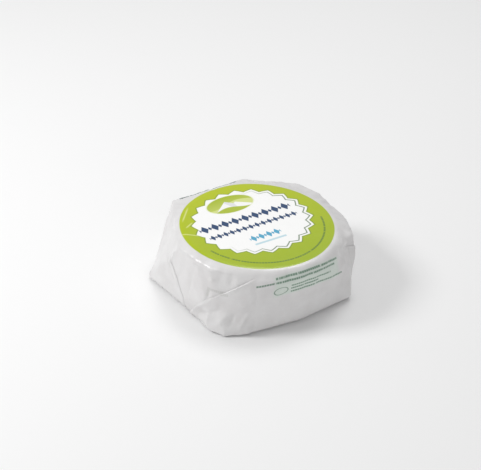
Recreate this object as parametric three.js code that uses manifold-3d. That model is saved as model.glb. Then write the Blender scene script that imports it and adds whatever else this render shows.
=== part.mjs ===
// A small soft-ripened cheese wheel in its folded paper wrapper.
// Millimetres, +Z up. The wheel's axis is Z and the wrapper rests on z = 0.
// The print on the paper reads along +X, so its foot faces -Y.
import * as THREE from 'three';
import Module from 'manifold-3d';

// the cheese
const wheelRadius = 50;
const wheelHeight = 37.2;
const rindRounding = 6; // radius of the wheel's top and bottom edges
const rindCrown = 0.3; // the dish that the top and bottom faces sink to in the middle

// the paper
const paperWall = 0.6; // two or three folded layers and the air between them
const paperClearance = 0.3; // gap between the paper and the rind
const cornerInset = 1.4; // how far the inside of a corner lies behind its ridge
const cornerLift = 2; // the lowest height of the inside of a corner
const footGapRadius = 7; // the gap left underneath where the folded edges meet

// how finely round things are cut
const aroundSteps = 120;
const roundingSteps = 7;

// Where the slack paper stands out from the wheel: the turn about Z in degrees, how far
// it stands out from the taut wall, and its rise above the foot or its drop from the top.
const footCorners = [
  { turn: -49, out: 7.6, rise: 1.6 }, // front right
  { turn: 38, out: 10.1, rise: 1.6 }, // back right
  { turn: 151, out: 12.1, rise: 1.4 }, // back left, the furthest out
  { turn: 176, out: 3.1, rise: 2.2 },
  { turn: -147, out: 9.1, rise: 1.4 }, // front left, twisted over three points
  { turn: -140, out: 10.1, rise: 1.2 },
  { turn: -128, out: 6.1, rise: 1.2 },
];
const shoulderCorners = [
  { turn: -38, out: 6.5, drop: 17 }, // front right, bulging below the shoulder
  { turn: -31, out: 5.1, drop: 4.5 },
  { turn: -16, out: 4.5, drop: 3 },
  { turn: 16, out: 6, drop: 2.6 },
  { turn: 32, out: 8.5, drop: 2.8 }, // back right
  { turn: 68, out: 4.3, drop: 2.2 },
  { turn: 120, out: 7.9, drop: 2.4 }, // back left
  { turn: 174, out: 0.7, drop: 3.1 }, // left, a crease along the shoulder
  { turn: -168, out: 0.7, drop: 2.2 },
  { turn: -155, out: 0.6, drop: 2.3 },
];

const cheeseColor = 0xf3efe4;
const paperColor = 0xe9e6e4;

// what follows from the sizes above
const wheelBottom = paperWall + paperClearance;
const wheelTop = wheelBottom + wheelHeight;
const wrapperRadius = wheelRadius + paperClearance + paperWall;
const wrapperTop = wheelTop + paperClearance + paperWall;

// A rounded disc's half section, from the axis below to the axis above.
function discOutline(radius, bottom, top, rounding, crown) {
  const outline = [new THREE.Vector2(0, bottom + crown)];
  const center = radius - rounding;
  for (let i = 0; i <= roundingSteps; i++) {
    const a = -Math.PI / 2 + (i / roundingSteps) * (Math.PI / 2);
    outline.push(new THREE.Vector2(
      center + rounding * Math.cos(a), bottom + rounding + rounding * Math.sin(a)));
  }
  for (let i = 0; i <= roundingSteps; i++) {
    const a = (i / roundingSteps) * (Math.PI / 2);
    outline.push(new THREE.Vector2(
      center + rounding * Math.cos(a), top - rounding + rounding * Math.sin(a)));
  }
  outline.push(new THREE.Vector2(0, top - crown));
  return outline;
}

function pointAt(turn, radius, height) {
  const a = THREE.MathUtils.degToRad(turn);
  return [radius * Math.cos(a), radius * Math.sin(a), height];
}

// The outside of the slack corners.
function outerCorners() {
  const feet = footCorners.map(({ turn, out, rise }) => pointAt(turn, wrapperRadius + out, rise));
  const shoulders = shoulderCorners.map(({ turn, out, drop }) => (
    pointAt(turn, wrapperRadius + out, wrapperTop - drop)));
  return [...feet, ...shoulders];
}

// Their inside, which lies far enough behind to leave a wall of paper.
function innerCorners() {
  const feet = footCorners.map(({ turn, out, rise }) => (
    pointAt(turn, wrapperRadius + out - cornerInset, Math.max(rise, cornerLift))));
  const shoulders = shoulderCorners.map(({ turn, out, drop }) => (
    pointAt(turn, wrapperRadius + out - cornerInset, wrapperTop - Math.max(drop, cornerLift))));
  return [...feet, ...shoulders];
}

// Points of the disc that lies under the paper, grown outwards by a distance.
function discPoints(growth) {
  const outline = discOutline(wheelRadius + growth, wheelBottom - growth,
    wheelTop + growth, rindRounding + growth, 0).slice(1, -1);
  const points = [];
  for (let i = 0; i < aroundSteps; i++) {
    for (const p of outline) points.push(pointAt((i / aroundSteps) * 360, p.x, p.y));
  }
  return points;
}

function buildCheese() {
  const outline = discOutline(wheelRadius, wheelBottom, wheelTop, rindRounding, rindCrown);
  const geometry = new THREE.LatheGeometry(outline, aroundSteps);
  geometry.rotateX(Math.PI / 2); // the lathe turns about Y
  const material = new THREE.MeshStandardMaterial({ color: cheeseColor, roughness: 0.85 });
  const mesh = new THREE.Mesh(geometry, material);
  mesh.name = 'cheese';
  return mesh;
}

// The taut paper is the tightest skin round the wheel and its slack corners.
function buildWrapper({ Manifold }) {
  const grown = paperClearance + paperWall;
  const outside = Manifold.hull([...discPoints(grown), ...outerCorners()]);
  const inside = Manifold.hull([...discPoints(paperClearance), ...innerCorners()]);
  const gap = Manifold.cylinder(paperWall * 4, footGapRadius, footGapRadius, aroundSteps, true);
  const paper = outside.subtract(inside).subtract(gap);
  const material = new THREE.MeshStandardMaterial({ color: paperColor, roughness: 0.55 });
  const mesh = new THREE.Mesh(toGeometry(paper), material);
  mesh.name = 'wrapper';
  return mesh;
}

function toGeometry(solid) {
  const { numProp, vertProperties, triVerts } = solid.getMesh();
  const positions = new Float32Array(triVerts.length * 3);
  triVerts.forEach((v, i) => {
    for (let k = 0; k < 3; k++) positions[3 * i + k] = vertProperties[v * numProp + k];
  });
  const geometry = new THREE.BufferGeometry();
  geometry.setAttribute('position', new THREE.BufferAttribute(positions, 3));
  geometry.computeVertexNormals();
  return geometry;
}

const manifold = await Module();
manifold.setup();

const cheeseInWrapper = new THREE.Group();
cheeseInWrapper.add(buildCheese());
cheeseInWrapper.add(buildWrapper(manifold));

export default cheeseInWrapper;
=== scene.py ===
import math

import bmesh
import bpy
import numpy as np
from mathutils import Matrix, Vector, noise
from mathutils.bvhtree import BVHTree


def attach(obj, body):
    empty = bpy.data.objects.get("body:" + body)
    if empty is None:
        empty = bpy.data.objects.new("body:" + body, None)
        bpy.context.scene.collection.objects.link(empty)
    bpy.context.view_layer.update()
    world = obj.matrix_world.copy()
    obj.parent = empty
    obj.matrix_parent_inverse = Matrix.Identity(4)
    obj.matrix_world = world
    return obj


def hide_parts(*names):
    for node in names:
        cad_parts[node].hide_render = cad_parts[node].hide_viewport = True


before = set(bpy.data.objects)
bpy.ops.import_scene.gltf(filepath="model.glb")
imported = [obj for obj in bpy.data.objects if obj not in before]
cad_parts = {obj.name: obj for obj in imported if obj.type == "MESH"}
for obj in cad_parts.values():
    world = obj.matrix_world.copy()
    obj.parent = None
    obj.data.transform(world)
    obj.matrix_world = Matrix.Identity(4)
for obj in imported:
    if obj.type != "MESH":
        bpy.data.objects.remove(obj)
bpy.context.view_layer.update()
mm = 0.001


# Shader helpers: a wrapped socket that does its own maths.

class Sock:
    def __init__(self, tree, out):
        self.tree, self.out = tree, out

    def math(self, operation, *others):
        return Graph(self.tree).node("ShaderNodeMath", {"operation": operation}, [self, *others])

    def __add__(self, b): return self.math("ADD", b)
    def __radd__(self, a): return self.math("ADD", a)
    def __sub__(self, b): return self.math("SUBTRACT", b)
    def __mul__(self, b): return self.math("MULTIPLY", b)
    def __rmul__(self, a): return self.math("MULTIPLY", a)
    def __truediv__(self, b): return self.math("DIVIDE", b)
    def __neg__(self): return self.math("MULTIPLY", -1.0)
    def __rsub__(self, a): return (-self).math("ADD", a)
    def __gt__(self, b): return self.math("GREATER_THAN", b)
    def __lt__(self, b): return self.math("LESS_THAN", b)
    def __pow__(self, b): return self.math("POWER", b)
    def __abs__(self): return self.math("ABSOLUTE")
    def sin(self): return self.math("SINE")
    def fract(self): return self.math("FRACT")
    def floor(self): return self.math("FLOOR")
    def clamp(self): return self.math("MAXIMUM", 0.0).math("MINIMUM", 1.0)
    def least(self, b): return self.math("MINIMUM", b)
    def most(self, b): return self.math("MAXIMUM", b)

    # 0 below low and 1 above high, with a straight edge between
    def step(self, low, high):
        return ((self - low) * (1.0 / (high - low))).clamp()


class Graph:
    def __init__(self, tree):
        self.tree = tree

    # settings are set first, because they change which sockets a node has
    def node(self, kind, settings=None, inputs=None, output=0):
        n = self.tree.nodes.new(kind)
        for key, value in (settings or {}).items():
            if key == "stops":
                ramp = n.color_ramp
                while len(ramp.elements) < len(value):
                    ramp.elements.new(1.0)
                for element, (at, color) in zip(ramp.elements, value):
                    element.position, element.color = at, color
            else:
                setattr(n, key, value)
        pairs = inputs.items() if isinstance(inputs, dict) else enumerate(inputs or [])
        for key, value in pairs:
            if isinstance(value, Sock):
                self.tree.links.new(value.out, n.inputs[key])
            else:
                n.inputs[key].default_value = value
        return Sock(self.tree, n.outputs[output])

    def mix(self, factor, a, b):
        inputs = {0: factor, 6: a, 7: b}
        return self.node("ShaderNodeMix", {"data_type": "RGBA"}, inputs, output=2)

    def noise(self, where, scale, detail=3.0, roughness=0.5):
        inputs = {"Vector": where, "Scale": scale, "Detail": detail, "Roughness": roughness}
        return self.node("ShaderNodeTexNoise", None, inputs)

    def bump(self, height, strength, distance, normal=None):
        inputs = {"Strength": strength, "Distance": distance, "Height": height}
        if normal:
            inputs["Normal"] = normal
        return self.node("ShaderNodeBump", None, inputs)


def newMaterial(name, fixed):
    material = bpy.data.materials.new(name)
    material.use_nodes = True
    shader = material.node_tree.nodes["Principled BSDF"]
    for key, value in fixed.items():
        shader.inputs[key].default_value = value
    graph = Graph(material.node_tree)

    def feed(key, sock):
        material.node_tree.links.new(sock.out, shader.inputs[key])
    return material, graph, feed


def rgb(r, g, b):
    linear = [c / 12.92 if c <= 0.04045 else ((c + 0.055) / 1.055) ** 2.4
              for c in (r / 255, g / 255, b / 255)]
    return (*linear, 1.0)


# The paper's form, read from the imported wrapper.

def easeStep(x, low, high):
    t = np.clip((x - low) / (high - low), 0.0, 1.0)
    return t * t * (3 - 2 * t)


formSampling = {
    "turns": 720,        # profiles round the wheel
    "tilts": 361,        # rays in each profile, from straight up to straight down
    "middle": 19.5,      # height that the rays aim at
    "blur": 1.0,         # softening between profiles, in profiles
    "spacing": 0.25,     # step along a profile, in mm
    "gapRadius": 7.5,    # no profile reaches into the gap underneath
}


# Each profile runs from the top's centre over the shoulder and down the wall to the underside.
def readForm(cad, cfg):
    bm = bmesh.new()
    bm.from_mesh(cad.data)
    tree = BVHTree.FromBMesh(bm)
    bm.free()
    turns = cfg["turns"]
    profiles = []
    for i in range(turns):
        turn = math.radians(i * 360 / turns)
        out = Vector((math.cos(turn), math.sin(turn), 0))
        points = []
        for tilt in np.linspace(0, math.pi, cfg["tilts"]):
            ray = out * math.sin(tilt) + Vector((0, 0, math.cos(tilt)))
            start = Vector((0, 0, cfg["middle"] * mm)) + ray * 0.2
            hit = tree.ray_cast(start, -ray)[0]
            radius = math.hypot(hit.x, hit.y) / mm
            if tilt < math.pi / 2 or radius > cfg["gapRadius"] and hit.z / mm < cfg["middle"]:
                points.append((radius, hit.z / mm))
        profiles.append(np.array(points))
    longest = max(np.hypot(*np.diff(p, axis=0).T).sum() for p in profiles)
    steps = np.arange(0, longest + 1, cfg["spacing"])
    form, feet, lengths = [], [], []
    for p in profiles:
        along = np.concatenate([[0], np.cumsum(np.hypot(*np.diff(p, axis=0).T))])
        form.append(np.stack([np.interp(steps, along, p[:, 0]), np.interp(steps, along, p[:, 1])], 1))
        feet.append(along[np.argmax(p[:, 0] - p[:, 1])])
        lengths.append(along[-1])
    form = np.array(form)

    # soften the ridges between profiles, as paper does
    spread = np.arange(-6, 7)
    weights = np.exp(-0.5 * (spread / cfg["blur"]) ** 2)
    weights /= weights.sum()

    def blurred(a):
        return sum(w * np.roll(a, s, axis=0) for s, w in zip(spread, weights))
    form = blurred(form)
    slope = np.gradient(form, cfg["spacing"], axis=1)
    slope /= np.maximum(np.linalg.norm(slope, axis=2, keepdims=True), 1e-6)
    return {"form": form, "slope": slope, "feet": blurred(np.array(feet)),
            "lengths": blurred(np.array(lengths)), "spacing": cfg["spacing"], "turns": turns}


# How far one turn lies from another, in degrees, the short way round.
def turnFrom(turn, start):
    return ((turn - start) + 180) % 360 - 180


# A value of a table at any turn, in degrees, and for two-step tables at any distance along.
def atTurn(table, turn):
    x = (turn % 360.0) * len(table) / 360.0
    low = np.floor(x).astype(int) % len(table)
    part = x - np.floor(x)
    return table[low] * (1 - part) + table[(low + 1) % len(table)] * part


def atForm(form, key, turn, along):
    table = form[key]
    x = (turn % 360.0) * form["turns"] / 360.0
    low = np.floor(x).astype(int) % form["turns"]
    high = (low + 1) % form["turns"]
    y = np.clip(along / form["spacing"], 0, table.shape[1] - 1.001)
    row = np.floor(y).astype(int)
    a, b = (x - np.floor(x))[:, None], (y - row)[:, None]
    return ((table[low, row] * (1 - b) + table[low, row + 1] * b) * (1 - a)
            + (table[high, row] * (1 - b) + table[high, row + 1] * b) * a)


# The paper.

# A tuck is a fold where a panel of paper laps over its neighbour. Turns are in degrees about Z.
# from is how far down the paper a tuck starts, and lift how far its folded edge stands off.
tucks = [
    {"fold": -149.4, "way": -1, "start": -124.7, "from": 6.9, "sweep": 43.5, "bow": 0.5,
     "tuck": 27, "layers": 1.0, "lift": 1.0, "roll": 0.6},
    {"fold": 149.4, "way": 1, "start": 165.0, "from": 18.0, "sweep": 22.0, "bow": 0.3,
     "tuck": 22, "layers": 0.3, "lift": 0.05, "roll": 0.4},
    {"fold": -30.6, "way": 1, "start": -46.0, "from": 9.0, "sweep": 36.0, "bow": 0.4,
     "tuck": 26, "layers": 0.8, "lift": 0.3, "roll": 0.5},
    {"fold": 30.6, "way": -1, "start": 48.0, "from": 11.0, "sweep": 38.0, "bow": 0.3,
     "tuck": 26, "layers": 0.9, "lift": 0.4, "roll": 0.5},
]

# Creases and dents pressed into the paper between two points, each a turn and a height.
# rise is how far the ridge stands out, in mm, or in where it is negative; a rounded one has no
# sharp line along it.
creases = [
    # along the left shoulder
    {"a": (174, 35.5), "b": (188, 36.5), "rise": 0.3, "wide": 1.0},
    {"a": (189, 36.5), "b": (208, 36.5), "rise": -0.6, "wide": 1.5, "rounded": True},
    {"a": (188, 34.5), "b": (207, 35), "rise": 0.5, "wide": 0.8},
    {"a": (207, 36), "b": (218, 35.5), "rise": 0.5, "wide": 0.9},
    # on the left end
    {"a": (166, 19.5), "b": (170, 31.5), "rise": 0.9, "wide": 1.1},
    {"a": (166, 19.5), "b": (172, 14.5), "rise": -0.3, "wide": 1.1},
    {"a": (166, 19.5), "b": (159, 25), "rise": -0.7, "wide": 1.4},
    # under the fold at the front left
    {"a": (-152, 17.5), "b": (-162, 9), "rise": 1.0, "wide": 3.0},
    {"a": (-159, 5.5), "b": (-145, 14.5), "rise": -1.1, "wide": 1.6},
    {"a": (-151, 11.5), "b": (-151, 2.5), "rise": 1.3, "wide": 1.4},
    {"a": (-140, 13), "b": (-144, 6), "rise": 1.1, "wide": 1.8},
    {"a": (-136, 13), "b": (-139, 5), "rise": -1.0, "wide": 1.5},
    {"a": (-128, 13.5), "b": (-132, 4.5), "rise": 1.3, "wide": 1.6},
    {"a": (-124, 9), "b": (-126, 2.5), "rise": -1.0, "wide": 1.8},
    {"a": (-116, 7), "b": (-112, 3), "rise": 0.4, "wide": 2.2},
    {"a": (-140, 35), "b": (-140, 29), "rise": -0.5, "wide": 1.2},
    {"a": (-137, 34), "b": (-136, 28), "rise": 0.35, "wide": 1.1},
    {"a": (-154, 23), "b": (-144, 25), "rise": -0.6, "wide": 1.4},
    {"a": (-154, 23), "b": (-154, 17.5), "rise": -0.6, "wide": 1.2},
    {"a": (-153, 31), "b": (-152, 30.5), "rise": 0.9, "wide": 1.0},
    # on the front right
    {"a": (-50, 4), "b": (-46, 30), "rise": 0.7, "wide": 1.3},
    {"a": (-44, 8), "b": (-41, 33), "rise": -0.6, "wide": 1.4},
    {"a": (-38, 24), "b": (-34, 34.5), "rise": 1.0, "wide": 1.0},
    {"a": (-30, 36.5), "b": (-34, 34), "rise": 0.9, "wide": 0.9},
    {"a": (-44, 33), "b": (-43, 27), "rise": 0.8, "wide": 0.9},
    {"a": (-48, 34), "b": (-38, 31), "rise": -0.6, "wide": 1.0},
    {"a": (-42, 37), "b": (-50, 35.5), "rise": 0.45, "wide": 0.9},
    {"a": (-52, 29), "b": (-50, 21), "rise": 0.5, "wide": 0.8},
    {"a": (-24, 36), "b": (-26, 31), "rise": 0.7, "wide": 1.0},
    {"a": (-14, 36.5), "b": (-18, 30), "rise": -0.6, "wide": 1.0},
    {"a": (-56, 22), "b": (-47, 34), "rise": 0.5, "wide": 1.4},
    {"a": (-60, 6), "b": (-54, 20), "rise": -0.35, "wide": 2.2},
    {"a": (-96, 6), "b": (-70, 4), "rise": -0.3, "wide": 3.0},
    # round the back
    {"a": (96, 33), "b": (112, 12), "rise": 0.6, "wide": 1.5},
    {"a": (70, 8), "b": (84, 30), "rise": -0.6, "wide": 1.8},
    {"a": (128, 30), "b": (136, 8), "rise": 0.6, "wide": 1.4},
    {"a": (0, 30), "b": (12, 10), "rise": 0.6, "wide": 1.4},
    {"a": (-8, 12), "b": (4, 24), "rise": -0.6, "wide": 1.8},
    {"a": (26, 32), "b": (22, 16), "rise": 0.6, "wide": 1.4},
]

# Corners of paper that stick out at the foot.
peaks = [
    {"turn": 150.0, "out": 2.3, "wide": 5.0},
    {"turn": -148.0, "out": 0.9, "wide": 2.5},
    {"turn": -139.5, "out": 0.9, "wide": 3.0},
    {"turn": -128.0, "out": 0.7, "wide": 2.5},
    {"turn": -49.0, "out": 0.5, "wide": 3.0},
    {"turn": 38.0, "out": 0.8, "wide": 3.0},
]

wrapper = {
    "columns": 400,        # strips of paper round the wheel
    "grid": 100,           # squares across the middle of the top
    "gridRadius": 24,
    "topEdge": 46,         # along the paper from the top's centre
    "topRings": 18,
    "wallRings": 46,
    "footRings": 24,
    "shoulder": 44,        # where the paper starts to turn down
    "sideFold": 7.2,       # the strip of paper that a tuck turns back, in degrees of the flat sheet
    "endGap": 1.5,         # the paper stops this far from the gap underneath
    "inset": 0.1,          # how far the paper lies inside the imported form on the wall
    "puff": 0.3,           # air under the top
    "layer": 0.3,          # paper and air between two layers
    "sink": 0.4,           # how far the hidden paper is pressed in
    "edgeWidth": 3.4,      # how wide a folded edge's lifted part is, in degrees
    "creasing": 1.4,       # how strong the chosen creases are
    "pleats": 19,          # gathers underneath
    "pleatDepth": 0.8,
    "thickness": 0.1,
    "floorGap": 0.04,
    "sharpFold": 1.1,      # edges bent more than this, in radians, stay sharp
    "fullTuck": 2.5,       # a tuck this wide, in degrees, has its full thickness
    "lapNear": 26,         # a lapping panel comes down to the form between these distances
    "lapFar": 44,          # from its ends, in degrees
    "hiddenEdge": 3,       # how soon hidden paper sinks, in degrees
    "turnedLift": 0.15,    # turned strips keep this much further from the table
    "meanRadius": 52.0,    # turns a crease's degrees into mm along the wall
    "smoothTurn": -100,    # the shoulder is smoothest here
    "smoothWidth": 45,
    "seed": 7,
}


# Where a tuck's outer and inner folds run at a depth along the paper from the shoulder,
# and the tuck's width between them.
def foldTurn(tuck, depth, footDepth, cfg):
    u = np.clip((depth - tuck["from"]) / (footDepth - tuck["from"]), 0.0, 1.0)
    start = tuck["fold"] + (tuck["start"] - tuck["fold"]) * easeStep(
        depth, cfg["gridRadius"] - cfg["shoulder"], tuck["from"])
    outer = start + tuck["way"] * tuck["sweep"] * u * (1 + tuck["bow"] * (1 - u))
    flat = cfg["sideFold"] * (1 - easeStep(depth, tuck["from"] - 5, tuck["from"] + 1))
    width = u * tuck["tuck"] - flat
    return outer, outer - tuck["way"] * width, width


# Where each point of the flat sheet comes to lie: its turn, and how far out of the form its
# layer lies. Panels run straight from fold to fold.
def foldSheet(turn, depth, footDepth, cfg):
    knots = []
    for tuck in tucks:
        outer, inner, width = foldTurn(tuck, depth, footDepth, cfg)
        height = np.clip(width / cfg["fullTuck"], 0, 1) * 2 * cfg["layer"] * tuck["layers"]
        pair = [(tuck["fold"], outer, height, True, width), (
            tuck["fold"] + tuck["way"] * cfg["sideFold"], inner, 0 * height, False, width)]
        knots += sorted(pair, key=lambda k: k[0])
    knots.sort(key=lambda k: k[0])
    last, first = knots[-1], knots[0]
    knots = [(last[0] - 360, last[1] - 360, *last[2:]), *knots,
             (first[0] + 360, first[1] + 360, *first[2:])]
    turn = (turn + 180) % 360 - 180
    folded, layer, turned = np.zeros_like(turn), np.zeros_like(turn), np.zeros_like(turn)
    for low, high in zip(knots, knots[1:]):
        inside = (turn >= low[0] - 1e-6) & (turn <= high[0] + 1e-6)
        part = (turn - low[0]) / (high[0] - low[0])
        here = low[1] + (high[1] - low[1]) * part
        folded = np.where(inside, here, folded)
        if low[3] and high[3]:
            # a lapping panel lies over the tucked strips at both of its ends
            nearLow = 1 - easeStep(np.abs(here - low[1]), cfg["lapNear"], cfg["lapFar"])
            nearHigh = 1 - easeStep(np.abs(high[1] - here), cfg["lapNear"], cfg["lapFar"])
            layer = np.where(inside, np.maximum(nearLow * low[2], nearHigh * high[2]), layer)
        elif low[3] != high[3]:
            layer = np.where(inside, low[2] + (high[2] - low[2]) * part, layer)
            turned = np.where(inside & (part > 0.01) & (part < 0.99), 1.0, turned)
        else:
            # a wall panel sinks a little where a lapping panel hides it
            hidden = 0
            for end in (low, high):
                near = np.abs(here - end[1])
                edge = cfg["hiddenEdge"]
                sunk = np.clip(np.minimum(near, end[4] - edge - near) / edge, 0, 1)
                hidden = np.maximum(hidden, sunk)
            layer = np.where(inside, -cfg["sink"] * hidden, layer)
    return folded, layer, turned


# Adds to the layers' heights how far a lapping panel's folded edge stands off, and rolls the
# edge itself back down.
def liftEdges(folded, depth, footDepth, layer, cfg):
    for tuck in tucks:
        outer, _, width = foldTurn(tuck, depth, footDepth, cfg)
        grown = np.clip(width / cfg["fullTuck"], 0, 1)
        away = ((outer - folded) * tuck["way"] + 180) % 360 - 180
        full = 2 * cfg["layer"] * tuck["layers"] * grown
        lapping = (layer > 0.96 * full - 1e-6) & (away > -0.4) & (grown > 0)
        raised = layer + tuck["lift"] * grown * np.exp(-np.abs(away) / cfg["edgeWidth"])
        rolled = np.where(away < 0.25, 1 - tuck["roll"], 1.0)
        layer = np.where(lapping, raised * rolled, layer)
    return layer


rumples = {
    "broad": 19,           # sizes of the crumples, in mm
    "middle": 7.5,
    "plate": 17,
    "plateTall": 26,
    "dent": 7,
    "dentTall": 11,
    "broadOut": 0.4,       # how strong each is on the wall
    "middleOut": 0.05,
    "plateOut": 1.3,
    "dentOut": 0.3,
    "broadTop": 0.06,      # and on the top
    "middleTop": 0.02,
    "pucker": 0.4,         # wavering of the shoulder, and its finer half
    "puckerFine": 0.2,
}


def crumple(points, folded, depth, footDepth, cfg):
    heights = points[:, 2]
    onWall = easeStep(depth, -1, 9)
    under = easeStep(depth, footDepth, footDepth + 6)
    push = np.zeros(len(points))
    seedShift = Vector((cfg["seed"], 3.1, 5.7))
    for i, (x, y, z) in enumerate(points):
        p = Vector((x, y, z))
        broad = noise.noise(p / rumples["broad"] + seedShift)
        middle = noise.noise(p / rumples["middle"] + seedShift)
        wide, tall = rumples["plate"], rumples["plateTall"]
        cells = noise.voronoi(Vector((x / wide, y / wide, z / tall)) + seedShift)[0]
        plate = min(cells[1] - cells[0], 0.22) - 0.11
        wide, tall = rumples["dent"], rumples["dentTall"]
        small = noise.voronoi(Vector((x / wide, y / wide, z / tall)) + seedShift)[0]
        dent = min(small[1] - small[0], 0.18) - 0.09
        wall = (rumples["broadOut"] * broad + rumples["middleOut"] * middle
                + rumples["plateOut"] * plate + rumples["dentOut"] * dent * max(0, broad + 0.1))
        top = rumples["broadTop"] * broad + rumples["middleTop"] * middle
        push[i] = top + onWall[i] * (1 - 0.7 * under[i]) * wall
    # puckers where the flat top turns down into the wall
    ripple = np.array([noise.noise(Vector((t * 0.23, 0.4, 9.0))) for t in folded])
    fineRipple = np.array([noise.noise(Vector((t * 0.55, 4.4, 2.0))) for t in folded])
    band = easeStep(depth, 2, 7) * (1 - easeStep(depth, 9, 18))
    front = np.exp(-(turnFrom(folded, cfg["smoothTurn"]) / cfg["smoothWidth"]) ** 2)
    pucker = rumples["pucker"] * ripple + rumples["puckerFine"] * fineRipple
    push += band * (1 - 0.8 * front) * pucker
    for peak in peaks:
        turned = turnFrom(folded, peak["turn"])
        near = np.exp(-np.abs(turned) / peak["wide"] - np.abs(depth - footDepth) / 6)
        push += peak["out"] * near
    # the chosen creases
    for c in creases:
        (ta, ha), (tb, hb) = c["a"], c["b"]
        dx = turnFrom(tb, ta) * math.pi / 180 * cfg["meanRadius"]
        dz = hb - ha
        px = turnFrom(folded, ta) * math.pi / 180 * cfg["meanRadius"]
        pz = heights - ha
        t = np.clip((px * dx + pz * dz) / (dx * dx + dz * dz), 0, 1)
        away = np.hypot(px - t * dx, pz - t * dz)
        fall = (away / c["wide"]) ** (2 if c.get("rounded") else 1)
        shape = np.exp(-fall) * (1 - 0.45 * np.abs(2 * t - 1))
        push += cfg["creasing"] * c["rise"] * shape * (1 - under) * (depth > 0)
    return push


# Gathers under the foot: each rises slowly and drops back sharply.
def gather(turn, depth, footDepth, cfg):
    rng = np.random.default_rng(cfg["seed"])
    n = cfg["pleats"]
    marks = (np.arange(n) + rng.uniform(-0.3, 0.3, n)) * 360 / n
    marks = np.append(marks, marks[0] + 360)
    swirl = 9.0 * easeStep(depth, footDepth, footDepth + 44)
    at = (turn + swirl - marks[0]) % 360 + marks[0]
    i = np.clip(np.searchsorted(marks, at, side="right") - 1, 0, n - 1)
    x = (at - marks[i]) / (marks[i + 1] - marks[i])
    saw = np.where(x < 0.9, x / 0.9, (1 - x) / 0.1)
    return saw * easeStep(depth, footDepth - 1, footDepth + 7)


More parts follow.
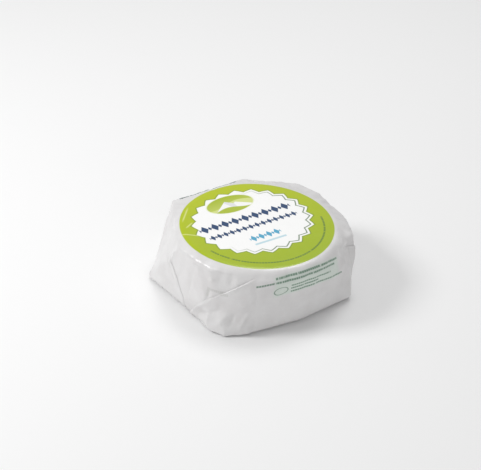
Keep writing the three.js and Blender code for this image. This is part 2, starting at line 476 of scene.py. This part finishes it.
def buildWrapper(form, cfg):
    columns = cfg["columns"]
    total = cfg["topRings"] + cfg["wallRings"] + cfg["footRings"]
    bm = bmesh.new()
    # a strip of points, spun into rings; ring numbers stand in for distance until the folding
    line = [bm.verts.new((cfg["gridRadius"] + j, 0, 0)) for j in range(total + 1)]
    edges = [bm.edges.new(pair) for pair in zip(line, line[1:])]
    bmesh.ops.spin(bm, geom=line + edges, cent=(0, 0, 0), axis=(0, 0, 1), angle=2 * math.pi,
                   steps=columns, use_merge=True, use_duplicate=False)
    # the middle of the top is a square grid, rounded so that it meets the first ring
    made = bmesh.ops.create_grid(bm, x_segments=cfg["grid"], y_segments=cfg["grid"], size=1)
    reach = max(abs(v.co.x) for v in made["verts"])
    for v in made["verts"]:
        x, y = v.co.x / reach, v.co.y / reach
        big, small = (x, y) if abs(x) >= abs(y) else (y, x)
        turn = math.pi / 4 * small / big if big else 0.0
        along, across = big * math.cos(turn), big * math.sin(turn)
        spot = (along, across) if abs(x) >= abs(y) else (across, along)
        v.co = (spot[0] * cfg["gridRadius"], spot[1] * cfg["gridRadius"], 0)
    bmesh.ops.remove_doubles(bm, verts=bm.verts, dist=1e-3)
    bmesh.ops.recalc_face_normals(bm, faces=bm.faces)
    if sum(f.normal.z for f in bm.faces) < 0:
        bmesh.ops.reverse_faces(bm, faces=bm.faces)

    flat = np.array([v.co[:] for v in bm.verts])
    turn = np.degrees(np.arctan2(flat[:, 1], flat[:, 0]))
    ring = np.hypot(flat[:, 0], flat[:, 1])
    rings = np.maximum(ring - cfg["gridRadius"], 0)

    # the folding needs the depth and the depth needs the turn, so they are worked out in turns
    folded = turn.copy()
    for _ in range(3):
        foot = atTurn(form["feet"], folded)
        end = atTurn(form["lengths"], folded) - cfg["endGap"]
        knots = [0, cfg["topRings"], cfg["topRings"] + cfg["wallRings"], total]
        top = cfg["gridRadius"] + (cfg["topEdge"] - cfg["gridRadius"]) * rings / cfg["topRings"]
        wall = cfg["topEdge"] + (foot - cfg["topEdge"]) * (rings - knots[1]) / cfg["wallRings"]
        under = foot + (end - foot) * (rings - knots[2]) / cfg["footRings"]
        along = np.where(rings <= 0, ring, np.where(rings < knots[1], top,
                         np.where(rings < knots[2], wall, under)))
        depth, footDepth = along - cfg["shoulder"], foot - cfg["shoulder"]
        folded, layer, turned = foldSheet(turn, np.minimum(depth, footDepth), footDepth, cfg)
    spots = atForm(form, "form", folded, along)
    slopes = atForm(form, "slope", folded, along)
    angle = np.radians(folded)
    base = np.stack([spots[:, 0] * np.cos(angle), spots[:, 0] * np.sin(angle), spots[:, 1]], 1)

    layer = liftEdges(folded, depth, footDepth, layer, cfg)
    push = crumple(base, folded, depth, footDepth, cfg) + layer
    below = easeStep(depth, footDepth - 2, footDepth + 6)
    push = push * (1 - below) + below * (np.clip(push, -0.3, 0.3) * 0.3 + 0.3 * layer)
    push += cfg["pleatDepth"] * gather(folded, depth, footDepth, cfg) - cfg["pleatDepth"] * below
    onTop = 1 - easeStep(depth, 2.5, 9)
    push += cfg["puff"] * onTop - cfg["inset"] * (1 - onTop)
    outR, outZ = -slopes[:, 1], slopes[:, 0]
    radius = spots[:, 0] + push * outR
    height = np.maximum(spots[:, 1] + push * outZ, cfg["floorGap"] + cfg["turnedLift"] * turned)
    placed = np.stack([radius * np.cos(angle), radius * np.sin(angle), height], 1)

    spread = bm.verts.layers.float_vector.new("spread")
    share = np.where(rings <= 0, ring / cfg["topEdge"] * 0.55, np.interp(
        rings, knots, [cfg["gridRadius"] / cfg["topEdge"] * 0.55, 0.55, 0.85, 1.0]))
    for v, spot, t, s in zip(bm.verts, placed, np.radians(turn), share):
        v.co = spot * mm
        v[spread] = (s * math.cos(t), s * math.sin(t), 0)

    # the inner side is a copy of the outer side, one thickness further in; its faces come later
    bm.normal_update()
    outerCount = len(bm.faces)
    copied = bmesh.ops.duplicate(bm, geom=bm.verts[:] + bm.edges[:] + bm.faces[:])["geom"]
    for v in copied:
        if isinstance(v, bmesh.types.BMVert):
            v.co -= v.normal * cfg["thickness"] * mm
    innerFaces = [f for f in copied if isinstance(f, bmesh.types.BMFace)]
    bmesh.ops.reverse_faces(bm, faces=innerFaces)
    bmesh.ops.bridge_loops(bm, edges=[e for e in bm.edges if e.is_boundary])
    layoutSheet(bm, spread, outerCount)
    for f in bm.faces:
        f.smooth = True
    for e in bm.edges:
        if len(e.link_faces) == 2 and e.calc_face_angle(0) > cfg["sharpFold"]:
            e.smooth = False
    return bm


# The flat layout for surface maps: the printed side large, the plain side small in a corner.
def layoutSheet(bm, spread, outerCount):
    uv = bm.loops.layers.uv.new("OFBake")
    bm.faces.ensure_lookup_table()
    for i, f in enumerate(bm.faces):
        half, at = (0.43, 0.435) if i < outerCount else (0.06, 0.935)
        for loop in f.loops:
            s = loop.vert[spread]
            loop[uv].uv = (at + half * s.x, at + half * s.y)


def pieceFrom(bm, name):
    mesh = bpy.data.meshes.new(name)
    bm.to_mesh(mesh)
    bm.free()
    piece = bpy.data.objects.new(name, mesh)
    bpy.context.scene.collection.objects.link(piece)
    return piece


# The print on the paper.

label = {
    "center": (-0.9, 0.7),     # mm from the wheel's axis
    "ring": 45.8,
    "starCenter": (0.0, 0.10),  # in ring radii from here on
    "starSize": (0.815, 0.745),
    "teeth": 22,
    "toothDepth": 0.085,
    "oval": (-0.05, 0.575, 0.34, 0.19),
    "green": rgb(186, 200, 6),
    "greenLow": rgb(160, 184, 2),
    "darkGreen": rgb(70, 110, 52),
    "white": rgb(255, 255, 254),
    "navy": rgb(28, 66, 110),
    "blue": rgb(80, 170, 205),
    "paleBlue": rgb(176, 216, 228),
    "printGreen": rgb(88, 128, 104),
    "tint": rgb(206, 224, 210),
}

# Pale lines painted across the ring's left side where the paper is creased: painted highlights on the
# creases, whose ridges are not modelled. Each runs from one point to another in ring radii.
creaseHighlights = [
    {"a": (-0.80, 0.52), "b": (-0.60, 0.74)},
    {"a": (-0.97, 0.27), "b": (-0.79, 0.12)},
    {"a": (-0.72, 0.42), "b": (-0.84, 0.36)},
]

# The lines of the print block on a wall, in mm across and up.
printLines = [
    {"left": -19.5, "right": 26.5, "at": 36.6, "half": 0.55, "pitch": 1.5, "seed": 1.0},
    {"left": -30.5, "right": 23.0, "at": 34.3, "half": 0.55, "pitch": 1.45, "seed": 5.0},
    {"left": -10.0, "right": 18.8, "at": 30.6, "half": 0.5, "pitch": 1.4, "seed": 9.0},
    {"left": -10.0, "right": 9.0, "at": 28.6, "half": 0.5, "pitch": 1.3, "seed": 13.0},
    {"left": -10.0, "right": 30.0, "at": 26.4, "half": 0.5, "pitch": 1.5, "seed": 17.0},
]
printBlock = {
    "wallRadius": 51.0,    # turns an angle into mm across the wall
    "bow": 0.0036,         # how much the lines fall towards their ends
    "oval": (-16.0, 28.4, 4.4, 2.5),
}

paperLook = {
    "color": rgb(227, 226, 226),
    "shade": rgb(219, 217, 217),
}


def between(v, low, high, edge):
    return v.step(low - edge, low + edge) * (1 - v.step(high - edge, high + edge))


# One row of plain ornament: large and small solid lozenges by turns.
def ornamentRow(x, y, left, right, low, high, count, edge=0.006):
    pitch = (right - left) / count
    cell = ((x - left) / pitch).fract() - 0.5
    middle, half = (low + high) / 2, (high - low) / 2
    up = abs(y - middle) / half
    lozenge = (1 - (abs(cell) * 2.9 + up)).step(-0.06, 0.06)
    small = (1 - ((0.5 - abs(cell)) * 6.0 + up * 2.1)).step(-0.06, 0.06)
    row = between(x, left, right, edge) * between(y, low, high, edge)
    return row * lozenge.most(small)


# Broken dashes that stand for a line of small print.
def dashLine(g, x, y, left, right, at, half, pitch, seed):
    cell = (x / pitch + seed)
    wander = g.noise(g.node("ShaderNodeCombineXYZ", None, [cell * 0.9, seed, 0.0]), 1.0, 2.0)
    ink = (wander - 0.36).step(0.0, 0.05)
    nick = abs(cell.fract() - 0.5)
    ink = ink * (1 - (nick - 0.40).step(0.0, 0.05) * 0.8)
    return ink * between(x, left, right, 0.15) * between(y, at - half, at + half, half * 0.35)


# The toothed white field on its green ring. Gives the color and where the ring is.
def printRing(g, x, y, radius, onTop, color):
    ring = (1 - radius.step(0.994, 1.004)) * onTop
    green = g.mix((y * 0.5 + 0.5).clamp(), label["greenLow"], label["green"])
    color = g.mix(ring, color, green)
    sx = (x - label["starCenter"][0]) / label["starSize"][0]
    sy = (y - label["starCenter"][1]) / label["starSize"][1]
    reach = (sx * sx + sy * sy) ** 0.5
    around = g.node("ShaderNodeMath", {"operation": "ARCTAN2"}, [sy, sx])
    teeth = abs((around * (label["teeth"] / (2 * math.pi)) + 0.25).fract() - 0.5) * 2.0
    outline = 1 - (1 - teeth) * label["toothDepth"]
    star = 1 - (reach - outline).step(-0.006, 0.006)
    inner = reach - outline + 0.055
    lowerRight = (x * 0.8 - y * 0.6).step(-0.35, 0.25)
    shadow = between(inner, -0.012, 0.012, 0.007) * lowerRight * star
    edgeShadow = between(reach - outline, 0.0, 0.022, 0.008) * (1 - star)
    color = g.mix(edgeShadow * ring * 0.55, color, label["darkGreen"])
    color = g.mix(star * ring, color, label["white"])
    color = g.mix(shadow * ring * 0.9, color, label["darkGreen"])
    return color, ring


# A plain picture of hills in the oval.
def printPicture(g, x, y, onTop, color):
    cx, cy, rx, ry = label["oval"]
    ox, oy = (x - cx) / rx, (y - cy) / ry
    oval = 1 - (ox * ox + oy * oy).step(0.95, 1.0)
    rim = 1 - (ox * ox + oy * oy).step(1.0, 1.12)
    far = (oy - ((ox * 2.6 + 0.6).sin() * 0.28 + 0.02)).step(-0.03, 0.03)
    near = (oy - ((ox * 3.4 + 2.4).sin() * 0.2 - 0.5)).step(-0.03, 0.03)
    peak = ((0.42 - abs(ox + 0.12) * 1.5).most(0.12 - abs(ox - 0.26) * 1.2) - oy).step(-0.03, 0.03)
    shaded = peak * (ox + 0.12 + oy * 0.25).step(-0.02, 0.02) * (0.5 - ox).step(0.3, 0.36)
    sky = g.mix((oy * 0.5 + 0.5).clamp(), rgb(206, 218, 110), rgb(168, 188, 14))
    picture = g.mix(1 - far, sky, rgb(216, 226, 140))
    picture = g.mix(peak, picture, rgb(252, 252, 250))
    picture = g.mix(shaded * 0.5, picture, rgb(204, 206, 214))
    picture = g.mix(1 - near, picture, rgb(176, 194, 50))
    color = g.mix(rim * onTop * 0.5, color, rgb(214, 226, 150))
    return g.mix(oval * onTop, color, picture)


# Two rows in place of a title, and a small light one under them.
def printRows(g, x, y, onTop, color):
    title = ornamentRow(x, y, -0.74, 0.63, 0.115, 0.285, 9)
    subtitle = ornamentRow(x, y, -0.71, 0.61, -0.065, 0.055, 14)
    color = g.mix(title.most(subtitle) * onTop, color, label["navy"])
    small = ornamentRow(x, y, -0.27, 0.19, -0.325, -0.185, 4)
    color = g.mix(small * onTop, color, label["blue"])
    underline = between(x, -0.27, 0.20, 0.006) * between(y, -0.40, -0.365, 0.006)
    return g.mix(underline * onTop * 0.8, color, label["paleBlue"])


# Small print round the lower part of the ring.
def printRingLine(g, x, y, radius, onTop, color):
    ringTurn = g.node("ShaderNodeMath", {"operation": "ARCTAN2"}, [x, -y])
    arc = dashLine(g, ringTurn * 40.0, radius * 46.0, -52.0, 52.0, 40.0, 0.55, 1.7, 3.0)
    return g.mix(arc * onTop * 0.75, color, label["darkGreen"])


# Paints pale highlight lines along the ring's creases, as painted highlights in the colour
def paintCreaseHighlights(g, x, y, ring, color):
    for line in creaseHighlights:
        (ax, ay), (bx, by) = line["a"], line["b"]
        dx, dy = bx - ax, by - ay
        along = ((x - ax) * dx + (y - ay) * dy) * (1 / (dx * dx + dy * dy))
        off = abs((x - ax) * dy - (y - ay) * dx) * (1 / math.hypot(dx, dy))
        creaseHighlight = between(along, 0.0, 1.0, 0.15) * (1 - off.step(0.004, 0.016))
        # the pale colour is a painted highlight along the crease
        color = g.mix(creaseHighlight * ring * 0.7, color, rgb(226, 232, 150))
    return color


# Faint grey marks that show through low on the left.
def printMarks(g, east, north, height, color):
    acrossLeft = g.node("ShaderNodeMath", {"operation": "ARCTAN2"}, [east, -north])
    acrossLeft = acrossLeft * printBlock["wallRadius"]
    marks = dashLine(g, acrossLeft, height, -58.0, -45.0, 24.2, 0.8, 1.1, 33.0)
    marks = marks.most(between(acrossLeft, -58.0, -56.5, 0.5) * between(height, 19.5, 24.5, 0.6))
    return g.mix(marks * (north < 0.0) * 0.4, color, rgb(186, 187, 182))


# The block of small print on the front wall, and its twin on the back wall. The topmost line
# of the twin lies on the shoulder.
def printWalls(g, east, north, height, color):
    first = dashLine(g, east, north, -25.0, 15.0, 49.6, 0.9, 1.6, 21.0) * height.step(36.2, 36.4)
    color = g.mix(first, color, rgb(44, 80, 76))
    for way, keep in ((1.0, north < 0.0), (-1.0, north > 0.0)):
        across = g.node("ShaderNodeMath", {"operation": "ARCTAN2"}, [east * way, north * -way])
        across = across * printBlock["wallRadius"]
        fall = height + across * across * printBlock["bow"]
        block = None
        for spec in printLines:
            line = dashLine(g, across, fall, **spec)
            block = block.most(line) if block else line
        ox, oz, wide, tall = printBlock["oval"]
        ex, ez = (across - ox) / wide, (fall - oz) / tall
        egg = ex * ex + ez * ez
        block = block.most(between(egg, 0.74, 1.0, 0.08))
        tint = between(across, -20.0, 27.0, 1.5) * between(fall, 25.2, 37.6, 0.8)
        color = g.mix(tint * keep * 0.55, color, label["tint"])
        color = g.mix(block * keep * 0.85, color, label["printGreen"])
    return color


def makePaper():
    fixed = {"Roughness": 0.42, "IOR": 1.47, "Specular IOR Level": 0.5,
             "Coat Weight": 0.35, "Coat Roughness": 0.2}
    material, g, feed = newMaterial("wrapper paper", fixed)
    where = g.node("ShaderNodeTexCoord", output=3)
    split = g.node("ShaderNodeSeparateXYZ", None, [where])
    east = split * (1 / mm)
    north = Sock(g.tree, split.out.node.outputs[1]) * (1 / mm)
    height = Sock(g.tree, split.out.node.outputs[2]) * (1 / mm)
    x = (east - label["center"][0]) / label["ring"]
    y = (north - label["center"][1]) / label["ring"]
    radius = (x * x + y * y) ** 0.5
    onTop = height.step(36.4, 37.4)

    mottle = g.noise(where, 90.0, 4.0)
    color = g.mix(mottle.step(0.35, 0.7), paperLook["color"], paperLook["shade"])
    color, ring = printRing(g, x, y, radius, onTop, color)
    color = printPicture(g, x, y, onTop, color)
    color = printRows(g, x, y, onTop, color)
    color = printRingLine(g, x, y, radius, onTop, color)
    # painted highlights along the creases on the ring
    color = paintCreaseHighlights(g, x, y, ring, color)
    color = printMarks(g, east, north, height, color)
    color = printWalls(g, east, north, height, color)
    feed("Base Color", color)

    # worn spots are duller; fine fibres and faint rumples in the coating
    rough = 0.26 + 0.2 * g.noise(where, 160.0, 4.0)
    feed("Roughness", rough)
    rumple = g.noise(where, 140.0, 3.0, 0.6)
    fibre = g.noise(where, 1400.0, 2.0, 0.6)
    soft = g.bump(rumple, 0.35, 0.0007)
    feed("Normal", g.bump(fibre, 0.10, 0.0001, soft))
    return material


# The cheese.

def makeRind():
    fixed = {"Roughness": 0.85, "Subsurface Weight": 0.12, "Sheen Weight": 0.35}
    material, g, feed = newMaterial("bloomy rind", fixed)
    where = g.node("ShaderNodeTexCoord", output=3)
    bloom = g.noise(where, 60.0, 5.0, 0.6)
    patch = g.noise(where, 240.0, 3.0)
    color = g.mix(bloom.step(0.35, 0.7), rgb(246, 243, 234), rgb(233, 222, 196))
    color = g.mix(patch.step(0.6, 0.8) * 0.4, color, rgb(214, 192, 150))
    feed("Base Color", color)
    feed("Normal", g.bump(bloom + patch * 0.5, 0.5, 0.0006))
    return material


# Building.

form = readForm(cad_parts["wrapper"], formSampling)
print("form read")
paper = pieceFrom(buildWrapper(form, wrapper), "folded_wrapper")
paper.data.materials.append(makePaper())
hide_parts("wrapper")
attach(paper, "root")
print("wrapper folded")

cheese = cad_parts["cheese"]
cheese.data.materials.clear()
cheese.data.materials.append(makeRind())
print("cheese finished")


# Stage, light and camera.

stage = {"size": 3.0}


def buildStage(cfg):
    bm = bmesh.new()
    bmesh.ops.create_grid(bm, x_segments=1, y_segments=1, size=cfg["size"])
    floor = pieceFrom(bm, "floor")
    material = newMaterial("pale floor", {"Roughness": 0.6, "Base Color": rgb(247, 247, 247)})[0]
    floor.data.materials.append(material)


buildStage(stage)

lights = [
    {"name": "window", "turn": -82, "rise": 40, "far": 0.9, "size": 0.26, "power": 3.65},
    {"name": "fill", "turn": 20, "rise": 22, "far": 1.2, "size": 0.8, "power": 1.3},
    {"name": "back", "turn": 165, "rise": 62, "far": 1.0, "size": 0.4, "power": 2.9},
]


# turn is measured from the camera: negative is to its left, and 180 is behind the object
view = {"azimuth": -35.0, "rise": 33.1, "roll": 3.8, "far": 0.9, "lens": 114.6,
        "aim": (-0.0015, -0.0003, 0.039), "shift": (-0.0346, -0.0189)}


def directionFor(azimuth, rise):
    a, e = math.radians(azimuth), math.radians(rise)
    return Vector((math.sin(a) * math.cos(e), -math.cos(a) * math.cos(e), math.sin(e)))


def buildLights(specs):
    target = Vector((0, 0, 0.02))
    for s in specs:
        lamp = bpy.data.lights.new(s["name"], "AREA")
        lamp.size, lamp.energy = s["size"], s["power"]
        light = bpy.data.objects.new(s["name"], lamp)
        away = directionFor(view["azimuth"] + s["turn"], s["rise"])
        light.location = target + away * s["far"]
        light.rotation_euler = away.to_track_quat("Z", "Y").to_euler()
        bpy.context.scene.collection.objects.link(light)
    world = bpy.data.worlds.new("studio")
    bpy.context.scene.world = world
    world.use_nodes = True
    world.node_tree.nodes["Background"].inputs["Color"].default_value = (1.0, 1.0, 1.0, 1.0)
    world.node_tree.nodes["Background"].inputs["Strength"].default_value = 0.42


def buildCamera(cfg):
    data = bpy.data.cameras.new("camera")
    data.lens = cfg["lens"]
    data.shift_x, data.shift_y = cfg["shift"]
    data.clip_start = 0.01
    camera = bpy.data.objects.new("camera", data)
    back = directionFor(cfg["azimuth"], cfg["rise"])
    a = math.radians(cfg["azimuth"])
    right = Vector((math.cos(a), math.sin(a), 0))
    up = back.cross(right)
    roll = math.radians(cfg["roll"])
    turnedRight = right * math.cos(roll) + up * math.sin(roll)
    turnedUp = up * math.cos(roll) - right * math.sin(roll)
    turned = Matrix((turnedRight, turnedUp, back)).transposed().to_4x4()
    turned.translation = Vector(cfg["aim"]) + back * cfg["far"]
    camera.matrix_world = turned
    bpy.context.scene.collection.objects.link(camera)
    bpy.context.scene.camera = camera


buildLights(lights)
buildCamera(view)
bpy.context.scene.view_settings.view_transform = "Standard"
print("stage, lights and camera ready")
